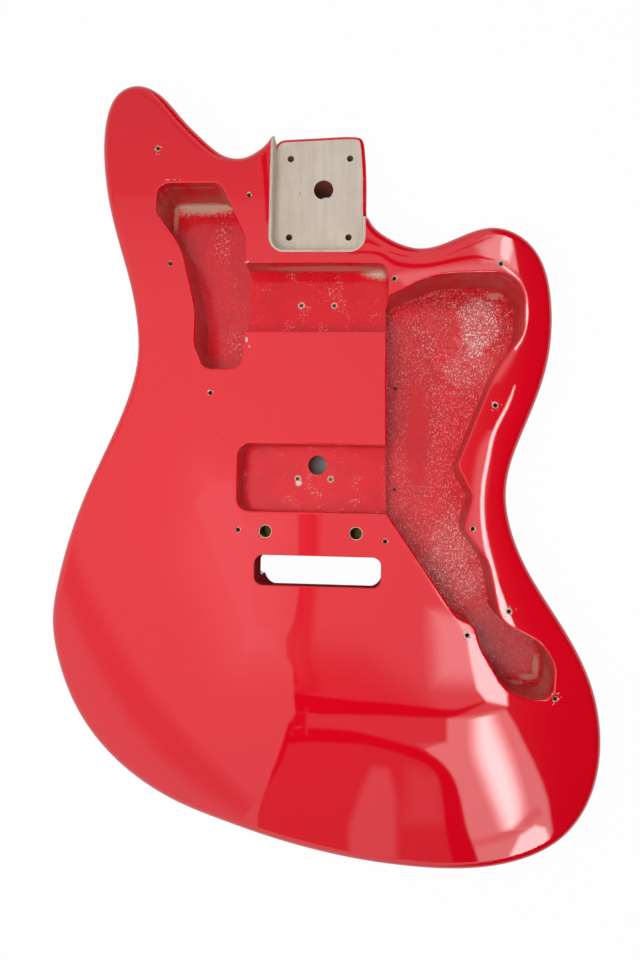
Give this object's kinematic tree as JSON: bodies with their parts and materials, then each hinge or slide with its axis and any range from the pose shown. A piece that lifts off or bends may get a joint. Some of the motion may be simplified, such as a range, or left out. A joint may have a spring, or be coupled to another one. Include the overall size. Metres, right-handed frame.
{
  "type": "electric guitar body",
  "caption": "Bare offset solid electric guitar body: glued boards under gloss lacquer, routed for neck, pickups, controls and tremolo.",
  "frame": {"origin": "middle of the body's box on the plane of its flat back", "axes": "+Z out of the front face, +Y towards the neck along the strings, +X to the treble side"},
  "size_m": [0.344, 0.4843, 0.0445],
  "materials": {
    "wood": "bare sanded hardwood, with red overspray in the cavities",
    "lacquer": "polished gloss polyester lacquer"
  },
  "bodies": {
    "root": {"bass_side_board": "wood", "centre_board": "wood", "treble_side_board": "wood", "front_and_edge_lacquer": "lacquer", "back_lacquer": "lacquer"}
  },
  "joints": []
}
